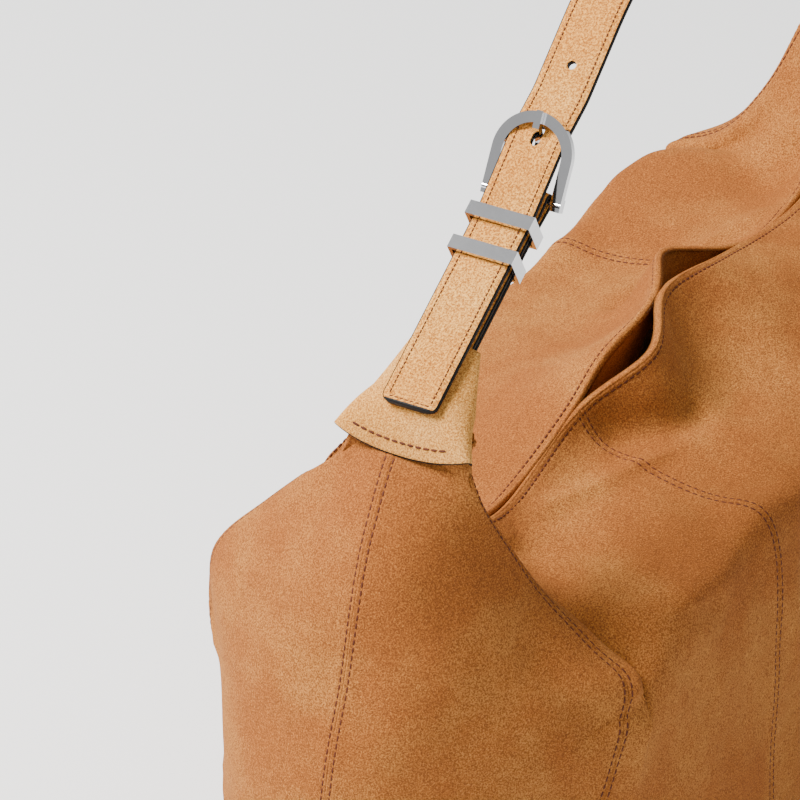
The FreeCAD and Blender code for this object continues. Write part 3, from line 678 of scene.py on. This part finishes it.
class BAG_OT_inside(bpy.types.Operator):
    """Cotton lining, suede facings inside the mouth, and the magnets on them"""
    bl_idname = "bag.inside"
    bl_label = "Lining and facings"

    def execute(self, context):
        cotton, suede = finish_of("cotton_plain_weave"), finish_of("camel_split_suede")
        v = np.linspace(*LINING_ROWS, 70)
        for side, first in (("front", 0), ("back", HALF_ROUND)):
            u = np.linspace(first, first + HALF_ROUND, 180)
            outer, normal = body_grid(u, v, LINING_DEPTH)
            piece = shell(side + "_lining_cloth", outer, outer - normal * LINING_THICK, [cotton])
            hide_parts(side + "_lining")
            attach(piece, "bag")
        for side, first in (("front", 0), ("back", HALF_ROUND)):
            u = np.linspace(first + TACK + 0.25, first + HALF_ROUND - TACK - 0.25, 90)
            top, normal = body_line(u, np.full_like(u, TOP - 0.10), -SUEDE)
            sign = -1 if side == "front" else 1
            down = np.linspace(0, 1, 26)
            hang = np.broadcast_to(top[:, None], (len(u), len(down), 3)).copy()
            hang[..., 2] += (FACING_FOOT - top[:, None, 2]) * down
            hang[..., 1] += (sign * FACING_GAP - top[:, None, 1]) * (1 - (1 - down) ** 2.2)
            thick = hang + (0, sign * FACING_THICK, 0)
            faces = (hang, thick) if side == "back" else (hang[::-1], thick[::-1])
            piece = shell(side + "_facing_suede", *faces, [suede])
            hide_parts(side + "_facing")
            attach(piece, "bag")
            dress(side + "_magnet", "nickel_plated_magnet")
        return {"FINISHED"}


SEAM_FOOT = 0.15                 # the row where the seams' stitches start
HORN_TOP, MOUTH_TOP = 7.1, 7.85  # the rows where they end, under the collar and at the mouth
SEAM_ROWS = (
    ("left_end", 0, HORN_TOP),
    ("right_end", HALF_ROUND, HORN_TOP),
    ("front_left", GUSSET, HORN_TOP),
    ("front_right", HALF_ROUND - GUSSET, HORN_TOP),
    ("back_right", HALF_ROUND + GUSSET, HORN_TOP),
    ("back_left", ROUND - GUSSET, HORN_TOP),
    ("front_side", TACK, MOUTH_TOP),
    ("back_side", HALF_ROUND + TACK, MOUTH_TOP),
)
MOUTH_ROW_START = 3.35           # the mouth's row of stitches starts this many stations from the end


class BAG_OT_seams(bpy.types.Operator):
    """Double stitch rows along the seams, and single rows beside the mouth's edges"""
    bl_idname = "bag.seams"
    bl_label = "Body stitching"

    def execute(self, context):
        look = looks()[0]
        thread = finish_of("brown_bonded_thread")
        sizes = (look.pitch / MM, look.stitch / MM, look.thickness / MM)

        def rows_beside(station, last):
            """Lines on both sides of a seam that follows a station."""
            v = np.linspace(SEAM_FOOT, last, 260)
            u = np.full_like(v, float(station))
            step = np.linalg.norm(surface(u + 0.01, v) - surface(u, v), axis=1) / 0.01
            return [body_line(u + side * SEAM_ROW / step, v, 0.1) for side in (-1, 1)]

        groups = {name + "_stitches": rows_beside(station, last) for name, station, last in SEAM_ROWS}
        mouth = []
        for first in (0, HALF_ROUND):
            u = np.linspace(first + MOUTH_ROW_START, first + HALF_ROUND - MOUTH_ROW_START, 500)
            v = np.full_like(u, float(TOP))
            step = np.linalg.norm(surface(u, v) - surface(u, v - 0.01), axis=1) / 0.01
            mouth.append(body_line(u, v - LIP_ROW / step, 0.1))
        groups["mouth_stitches"] = mouth
        for name, lines in groups.items():
            piece = stitch_piece(name, lines, *sizes, thread)
            over_the_swing(piece)
        return {"FINISHED"}


# ------------------------------------------------------------------ collars
# Sections of the left collar from its hem upwards: middle (x, z), slope of the horn, half width,
# half thickness.
COLLAR = np.array(((-196.0, 294.5, 50.0, 29.6, 7.5), (-189.7, 307.7, 41.0, 23.0, 9.5),
                   (-181.0, 316.7, 33.0, 18.5, 7.0), (-168.6, 327.4, 29.4, 13.5, 4.2)))
COLLAR_WALL = 1.7
COLLAR_RINGS = 46
COLLAR_ROW = 0.27        # the stitch row's place along the collar, in sections from the hem


def collar_layer(angle, along, depth):
    """Points of the collar at an angle round it and a place along it, a depth inside its outer face.

    Each section is an oval, a little pointed where the patch is folded at the sides. Towards the
    hem the folds rise level with the outer face and the hem is drawn up beside them."""
    cos, sin = np.cos(angle), np.sin(angle)
    near_hem = np.clip(1.6 - along, 0, 1.6) / 1.6
    along = along + 0.3 * cos ** 2 * near_hem
    x, z, slope, width, thick = (spline_weights(len(COLLAR), along, False) @ COLLAR).T
    lean = np.radians(slope)
    across = (width - depth) * np.sign(cos) * np.abs(cos) ** 0.92 + 1.2 * near_hem
    out = (thick - depth) * np.sign(sin) * np.abs(sin) ** 1.12
    out = out + 0.5 * np.sin(3 * angle + along) * bell(along - 1.2, 1.0)
    out = out + 0.7 * thick * cos ** 2 * near_hem
    return np.stack([x - np.sin(lean) * out, across, z + np.cos(lean) * out], axis=-1)


class BAG_OT_collars(bpy.types.Operator):
    """Folded suede collars round the horns, with painted hems and one stitch row"""
    bl_idname = "bag.collars"
    bl_label = "Collars"

    def execute(self, context):
        look = looks()[0]
        angle = np.linspace(0, 2 * math.pi, 121)[:-1]
        out = np.linspace(len(COLLAR) - 1, 0, COLLAR_RINGS)
        round_hem = np.array([0.25, 0.5, 0.75])
        depths = np.concatenate([np.zeros(COLLAR_RINGS), COLLAR_WALL * round_hem,
                                 np.full(COLLAR_RINGS, COLLAR_WALL)])
        places = np.concatenate([out, -0.03 * np.sin(round_hem * math.pi), out[::-1]])
        grid_angle, grid_place = np.meshgrid(angle, places, indexing="ij")
        grid_depth = np.broadcast_to(depths, grid_angle.shape)
        points = collar_layer(grid_angle.ravel(), grid_place.ravel(), grid_depth.ravel())
        faces = grid_faces(len(angle), len(places), wrap_rows=True, wrap_columns=True)
        hem = np.zeros((len(angle), len(places)), np.int32)
        hem[:, COLLAR_RINGS - 1:COLLAR_RINGS + len(round_hem)] = 1
        row_angle = np.linspace(0.25 * math.pi, 0.72 * math.pi, 60)
        place = np.full_like(row_angle, COLLAR_ROW)
        row = collar_layer(row_angle, place, -0.1)
        normal = unit(collar_layer(row_angle, place, -1.0) - collar_layer(row_angle, place, 0.0))
        tack = slice(0, 6), slice(-6, None)
        for side, turn in ENDS:
            shape, line, up = (part * (turn, turn, 1) for part in (points, row, normal))
            piece = finish_piece(side + "_collar_suede", shape, faces,
                                 [finish_of("tan_collar_suede"), finish_of("painted_edge")], hem.ravel())
            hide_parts(side + "_collar")
            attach(piece, "strap")
            lines = [(line, up)] + [(line[part], up[part]) for part in tack]
            thread = stitch_piece(side + "_collar_stitches", lines, look.pitch / MM, look.stitch / MM * 1.1,
                                  look.thickness / MM, finish_of("brown_bonded_thread"))
            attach(thread, "strap")
        return {"FINISHED"}


# ------------------------------------------------------------------ strap and buckle straps
TIP = (-198.0, 318.4)
CORNERS = ((-126.0, 359.0, 60.0), (-102.0, 378.2, 24.0), (-85.0, 387.0, 30.0))
CROWN_START = (-62.0, 405.2)
STRAP_WIDTH = 22.0
STRAP_THICK = 2.6
STRAP_STITCH = 1.45      # length of a stitch
STRAP_THREAD = 0.55      # width of a stitch
PRONG_HOLE = (-101.9, 378.2, 4.6, 1.75)      # x, z, length and radius of the slot under the prong
PRONG_HOLE_SLOPE = math.radians(36.0)
TIP_ROUND = 3.0
FREE_HOLES = ((-76.0, 394.0), (-50.0, 413.5))
HOLE_RADIUS = 1.7
BAR = (-113.0, 359.0)
TAIL_SLOPE = math.radians(29.4)
TONGUE_LENGTH = 80.0


def rounded_path(start, corners, end, spacing):
    """Points along straight runs joined by arcs that touch both runs, evenly spaced."""
    stops = [np.array(start)] + [np.array(c[:2]) for c in corners] + [np.array(end)]
    path = [stops[0]]
    for before, (x, z, radius), after in zip(stops, corners, stops[2:]):
        corner = np.array((x, z))
        into, out = unit(corner - before), unit(after - corner)
        turn = math.atan2(into[0] * out[1] - into[1] * out[0], into @ out)
        trim = radius * math.tan(abs(turn) / 2)
        side = np.array((-into[1], into[0])) * math.copysign(radius, turn)
        angles = np.linspace(0, turn, 15)[:, None]
        spoke = -side
        turned = np.concatenate([spoke[0] * np.cos(angles) - spoke[1] * np.sin(angles),
                                 spoke[0] * np.sin(angles) + spoke[1] * np.cos(angles)], axis=1)
        path.extend(corner - into * trim + side + turned)
    path.append(stops[-1])
    return respaced(np.array(path), spacing)


def respaced(path, spacing):
    """The same line with evenly spaced points."""
    run = distances(path)
    keep = np.concatenate([[True], np.diff(run) > 1e-6])
    path, run = path[keep], run[keep]
    at = np.linspace(0, run[-1], int(run[-1] / spacing) + 1)
    return np.stack([np.interp(at, run, path[:, k]) for k in range(path.shape[1])], axis=1)


def strap_path():
    """Outer face of the whole strap in its side view, from the left tip over the crown."""
    left = rounded_path(TIP, CORNERS, CROWN_START, 1.0)
    slope = math.atan2(CROWN_START[1] - CORNERS[-1][1], CROWN_START[0] - CORNERS[-1][0])
    radius = -CROWN_START[0] / math.sin(slope)
    angles = np.linspace(slope, -slope, 130)[1:-1]
    height = CROWN_START[1] - radius * math.cos(slope)
    crown = np.stack([-radius * np.sin(angles), height + radius * np.cos(angles)], axis=1)
    return respaced(np.concatenate([left, crown, left[::-1] * (-1, 1)]), 1.0)


def side_normals(path):
    """Unit normals to the left of a line in its side view."""
    along = unit(np.gradient(path, axis=0))
    return np.stack([-along[:, 1], along[:, 0]], axis=1)


def band(path, width, thick, tip_start, tip_end):
    """A strap carried along its outer face's line: a rounded oblong section, a little crowned, whose
    width closes in at a rounded tip. Gives points, faces and which faces are painted edge."""
    normal = side_normals(path)
    run = distances(path)
    half = np.full(len(path), width / 2)
    for wanted, gone in ((tip_start, run), (tip_end, run[-1] - run)):
        if wanted:
            near = np.clip(gone, 0, TIP_ROUND)
            half = np.minimum(half, width / 2 - TIP_ROUND + np.sqrt(TIP_ROUND ** 2 - (TIP_ROUND - near) ** 2))
    ease = 0.55
    flat = np.linspace(-1, 1, 11)
    across = np.concatenate([flat, [1, 1, 1], flat[::-1], [-1, -1, -1]])
    inset = np.concatenate([np.full(11, ease), [0.12, 0, 0.12], np.full(11, ease), [0.12, 0, 0.12]])
    inset[1:10] = 0
    inset[15:24] = 0
    depth = np.concatenate([0.12 * flat ** 4, [0.2, 0.5, 0.8], 1 - 0.12 * flat ** 4, [0.8, 0.5, 0.2]])
    y = across[None] * (half[:, None] - inset[None])
    deep = depth[None] * thick
    points = np.stack([path[:, :1] - normal[:, :1] * deep, y, path[:, 1:] - normal[:, 1:] * deep], axis=-1)
    faces = grid_faces(*points.shape[:2], wrap_columns=True)
    count = points.shape[1]
    painted = np.zeros((len(path) - 1, count), np.int32)
    painted[:, 10:14] = 1
    painted[:, 24:28] = 1
    if tip_start:
        painted[:1] = 1
    if tip_end:
        painted[-1:] = 1
    faces.append(list(range(count)))
    faces.append(list(range(len(path) * count - 1, (len(path) - 1) * count - 1, -1)))
    return points, faces, np.append(painted.ravel(), [1, 1])


def cut(piece, tools):
    """Take the tools' shapes out of a piece and remove the tools."""
    for tool in tools:
        step = piece.modifiers.new("cut", "BOOLEAN")
        step.object = tool
        step.operation = "DIFFERENCE"
        step.solver = "EXACT"
    bpy.context.view_layer.update()
    done = piece.evaluated_get(bpy.context.evaluated_depsgraph_get())
    mesh = bpy.data.meshes.new_from_object(done)
    old = piece.data
    piece.modifiers.clear()
    piece.data = mesh
    bpy.data.meshes.remove(old)
    for tool in tools:
        bpy.data.objects.remove(tool)
    return piece


def prism(name, outline, place, along, up, length, material):
    """A closed prism: an outline in the plane of along and across, carried along up."""
    across = np.cross(up, along)
    base = place + outline[:, :1] * along + outline[:, 1:] * across
    points = np.concatenate([base - up * length / 2, base + up * length / 2])
    count = len(outline)
    index = np.arange(count)
    following = np.roll(index, -1)
    faces = np.stack([index, following, following + count, index + count], axis=1).tolist()
    faces += [index[::-1].tolist(), (index + count).tolist()]
    return finish_piece(name, points, faces, [material], smooth=False)


def slot_outline(length, radius):
    """A slot with round ends, or a circle where its length is nothing."""
    angle = np.linspace(-math.pi / 2, math.pi / 2, 13)
    cap = np.stack([np.cos(angle) * radius + length / 2, np.sin(angle) * radius], axis=1)
    return np.concatenate([cap, -cap])


def row_on_band(path, y, first, last, lift):
    """A stitch line on a strap's outer face at a distance y from its middle, between two runs."""
    normal = side_normals(path)
    run = distances(path)
    near = (run >= first) & (run <= run[-1] - last)
    place, out = path[near] + normal[near] * lift, normal[near]
    level = np.full(len(place), y)
    return (np.stack([place[:, 0], level, place[:, 1]], axis=1),
            np.stack([out[:, 0], 0 * level, out[:, 1]], axis=1))


def flipped(line):
    """A stitch line turned half round to the other end."""
    return tuple(part * (-1, -1, 1) for part in line)


class BAG_OT_strap(bpy.types.Operator):
    """Shoulder strap with painted edges, stitched border, rounded tips and punched holes"""
    bl_idname = "bag.strap"
    bl_label = "Shoulder strap"

    def execute(self, context):
        look = looks()[1]
        path = strap_path()
        points, faces, painted = band(path, STRAP_WIDTH, STRAP_THICK, True, True)
        suede, paint = finish_of("coarse_strap_suede"), finish_of("painted_edge")
        piece = finish_piece("shoulder_strap_suede", points, faces, [suede, paint], painted)
        tools = []
        holes = [(x, z, 0.0, HOLE_RADIUS) for x, z in FREE_HOLES] + [PRONG_HOLE]
        middle = math.atan2(CROWN_START[1] - CORNERS[-1][1], CROWN_START[0] - CORNERS[-1][0])
        for number, (x, z, length, radius) in enumerate(holes):
            slope = middle if length == 0 else PRONG_HOLE_SLOPE
            along = np.array((math.cos(slope), 0, math.sin(slope)))
            up = np.array((-math.sin(slope), 0, math.cos(slope)))
            for side, turn in ENDS:
                flip = np.array((turn, turn, 1))
                outline = slot_outline(length, radius)
                tools.append(prism("%s_hole_%d" % (side, number), outline, np.array((x, 0, z)) * flip,
                                   along * flip, up * flip, 16, paint))
        cut(piece, tools)
        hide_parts("strap")
        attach(piece, "strap")
        inset = look.inset / MM
        edge = STRAP_WIDTH / 2 - inset
        lines = [row_on_band(path, side * edge, inset, inset, 0.05) for side in (-1, 1)]
        start = path[int(inset)]
        out = side_normals(path)[0]
        level = np.linspace(-edge, edge, 40)
        tip = (np.stack([np.full(40, start[0]), level, np.full(40, start[1])], axis=1),
               np.tile((out[0], 0, out[1]), (40, 1)))
        lines += [tip, flipped(tip)]
        thread = stitch_piece("strap_stitches", lines, look.pitch / MM, STRAP_STITCH, STRAP_THREAD,
                              finish_of("brown_bonded_thread"))
        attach(thread, "strap")
        return {"FINISHED"}


class BAG_OT_buckle_straps(bpy.types.Operator):
    """Short straps folded double round the buckle bars and sewn into the collars"""
    bl_idname = "bag.buckle_straps"
    bl_label = "Buckle straps"

    def execute(self, context):
        ply = 2.0
        along = np.array((math.cos(TAIL_SLOPE), math.sin(TAIL_SLOPE)))
        up = np.array((-along[1], along[0]))
        bar = np.array(BAR)
        angles = np.linspace(-math.pi / 2, math.pi / 2, 19)[:, None]
        outside = 3.6
        bend = bar + outside * (np.cos(angles) * along + np.sin(angles) * up)
        settle = 16.0
        half = 2.15
        under = [bar - along * TONGUE_LENGTH - up * half, bar - along * settle - up * half,
                 bar - along * settle / 2 - up * (half + outside) / 2]
        over = [bar - along * settle / 2 + up * (half + outside) / 2 * 0.9, bar - along * settle + up * half,
                bar - along * TONGUE_LENGTH + up * half]
        path = respaced(np.concatenate([under, bend, over]), 0.8)[::-1]
        points, faces, painted = band(path, STRAP_WIDTH, ply, False, False)
        suede, paint = finish_of("coarse_strap_suede"), finish_of("painted_edge")
        along3, up3 = np.array((along[0], 0, along[1])), np.array((up[0], 0, up[1]))
        for side, turn in ENDS:
            flip = np.array((turn, turn, 1))
            piece = finish_piece(side + "_buckle_strap_suede", points * flip, faces, [suede, paint], painted)
            slot = prism(side + "_slot", slot_outline(5.0, 2.5), np.array((BAR[0], 0, BAR[1])) * flip
                         + along3 * flip * 1.2, along3 * flip, up3 * flip, 14, paint)
            cut(piece, [slot])
            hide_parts(side + "_buckle_strap")
            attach(piece, "strap")
        return {"FINISHED"}


class BAG_OT_hardware(bpy.types.Operator):
    """Polished nickel plate on the buckles, bars, prongs and keepers"""
    bl_idname = "bag.hardware"
    bl_label = "Buckles and keepers"

    def execute(self, context):
        for side in ("left", "right"):
            for part in ("buckle_frame", "buckle_bar", "prong", "upper_keeper", "lower_keeper"):
                dress("%s_%s" % (side, part), "polished_nickel")
        return {"FINISHED"}


# ------------------------------------------------------------------ stage
LOOK_AROUND = math.radians(29.0)     # the camera looks this far off the bag's length
LOOK_DOWN = math.radians(33.0)
CAMERA_PLACE = (-1.6600, -0.8078, 1.4054)
LENS = 257.1


def area_light(name, place, target, size, power, tint=(1.0, 1.0, 1.0)):
    """A round lamp that faces a target."""
    data = bpy.data.lights.new(name, "AREA")
    data.shape = "DISK"
    data.size = size
    data.energy = power
    data.color = tint
    lamp = bpy.data.objects.new(name, data)
    lamp.location = place
    lamp.rotation_euler = (Vector(target) - Vector(place)).to_track_quat("-Z", "Y").to_euler()
    bpy.context.scene.collection.objects.link(lamp)


class BAG_OT_stage(bpy.types.Operator):
    """Pale floor, soft light from above and behind on the left, and the camera"""
    bl_idname = "bag.stage"
    bl_label = "Floor, light and camera"

    def execute(self, context):
        look = looks()[3]
        scene = context.scene
        material, tree = new_material("pale_paper_floor")
        coords = add(tree, "ShaderNodeTexCoord").outputs["Object"]
        fibres = pattern(tree, coords, 2.0, 2.0)
        tone = blend_colours(tree, fibres, rgba(look.floor), rgba(tuple(c * 0.985 for c in look.floor)))
        shader = add(tree, "ShaderNodeBsdfPrincipled", {"Base Color": tone, "Roughness": 0.9})
        add(tree, "ShaderNodeOutputMaterial", {"Surface": shader.outputs[0]})
        reach = 8000
        corners = np.array([(-reach, -reach, 0), (reach, -reach, 0), (reach, reach, 0), (-reach, reach, 0)])
        finish_piece("floor", corners, [[0, 1, 2, 3]], [material], smooth=False)
        area_light("key", (-0.75, 0.95, 1.75), (-0.05, 0, 0.2), 0.9, look.key, (1.0, 0.985, 0.96))
        area_light("fill", (-1.4, -1.3, 1.1), (-0.1, 0, 0.2), 1.4, look.fill)
        area_light("rim", (1.5, 0.6, 1.3), (0.1, 0, 0.25), 1.0, look.fill)
        world = bpy.data.worlds.new("studio")
        world.use_nodes = True
        world.node_tree.nodes.clear()
        sky = add(world.node_tree, "ShaderNodeBackground", {"Color": (1, 1, 1, 1), "Strength": look.world})
        add(world.node_tree, "ShaderNodeOutputWorld", {"Surface": sky.outputs[0]})
        scene.world = world
        data = bpy.data.cameras.new("view")
        data.lens = LENS
        data.sensor_width = 36.0
        data.clip_end = 20.0
        camera = bpy.data.objects.new("view", data)
        look_dir = Vector((math.cos(LOOK_AROUND) * math.cos(LOOK_DOWN),
                           math.sin(LOOK_AROUND) * math.cos(LOOK_DOWN), -math.sin(LOOK_DOWN)))
        right = Vector((math.sin(LOOK_AROUND), -math.cos(LOOK_AROUND), 0))
        above = right.cross(look_dir)
        turn = Matrix((right, above, -look_dir)).transposed().to_4x4()
        camera.matrix_world = Matrix.Translation(CAMERA_PLACE) @ turn
        scene.collection.objects.link(camera)
        scene.camera = camera
        return {"FINISHED"}


# ------------------------------------------------------------------ panel and run
STEPS = (BAG_OT_stage, BAG_OT_body, BAG_OT_base, BAG_OT_inside, BAG_OT_seams, BAG_OT_collars,
         BAG_OT_strap, BAG_OT_buckle_straps, BAG_OT_hardware)
GROUPS = (("bag_body", BodyLook), ("bag_strap", StrapLook), ("bag_inside", InsideLook),
          ("bag_stage", StageLook))


class BAG_PT_panel(bpy.types.Panel):
    """Settings and steps of the bag"""
    bl_idname = "BAG_PT_panel"
    bl_label = "Hobo bag"
    bl_space_type = "VIEW_3D"
    bl_region_type = "UI"
    bl_category = "Hobo bag"

    def draw(self, context):
        for attribute, group in GROUPS:
            box = self.layout.box()
            for name in group.__annotations__:
                box.prop(getattr(context.scene, attribute), name)
        for step in STEPS:
            self.layout.operator(step.bl_idname)


def register():
    """Add the settings, the steps and the panel."""
    for attribute, group in GROUPS:
        bpy.utils.register_class(group)
        setattr(bpy.types.Scene, attribute, bpy.props.PointerProperty(type=group))
    for made in STEPS + (BAG_PT_panel,):
        bpy.utils.register_class(made)


def unregister():
    """Take them away again."""
    for made in (BAG_PT_panel,) + STEPS[::-1]:
        bpy.utils.unregister_class(made)
    for attribute, group in GROUPS[::-1]:
        delattr(bpy.types.Scene, attribute)
        bpy.utils.unregister_class(group)


def main():
    """Run every step."""
    register()
    for step in STEPS:
        family, name = step.bl_idname.split(".")
        getattr(getattr(bpy.ops, family), name)()
    bpy.context.view_layer.update()


if __name__ == "__main__":
    main()
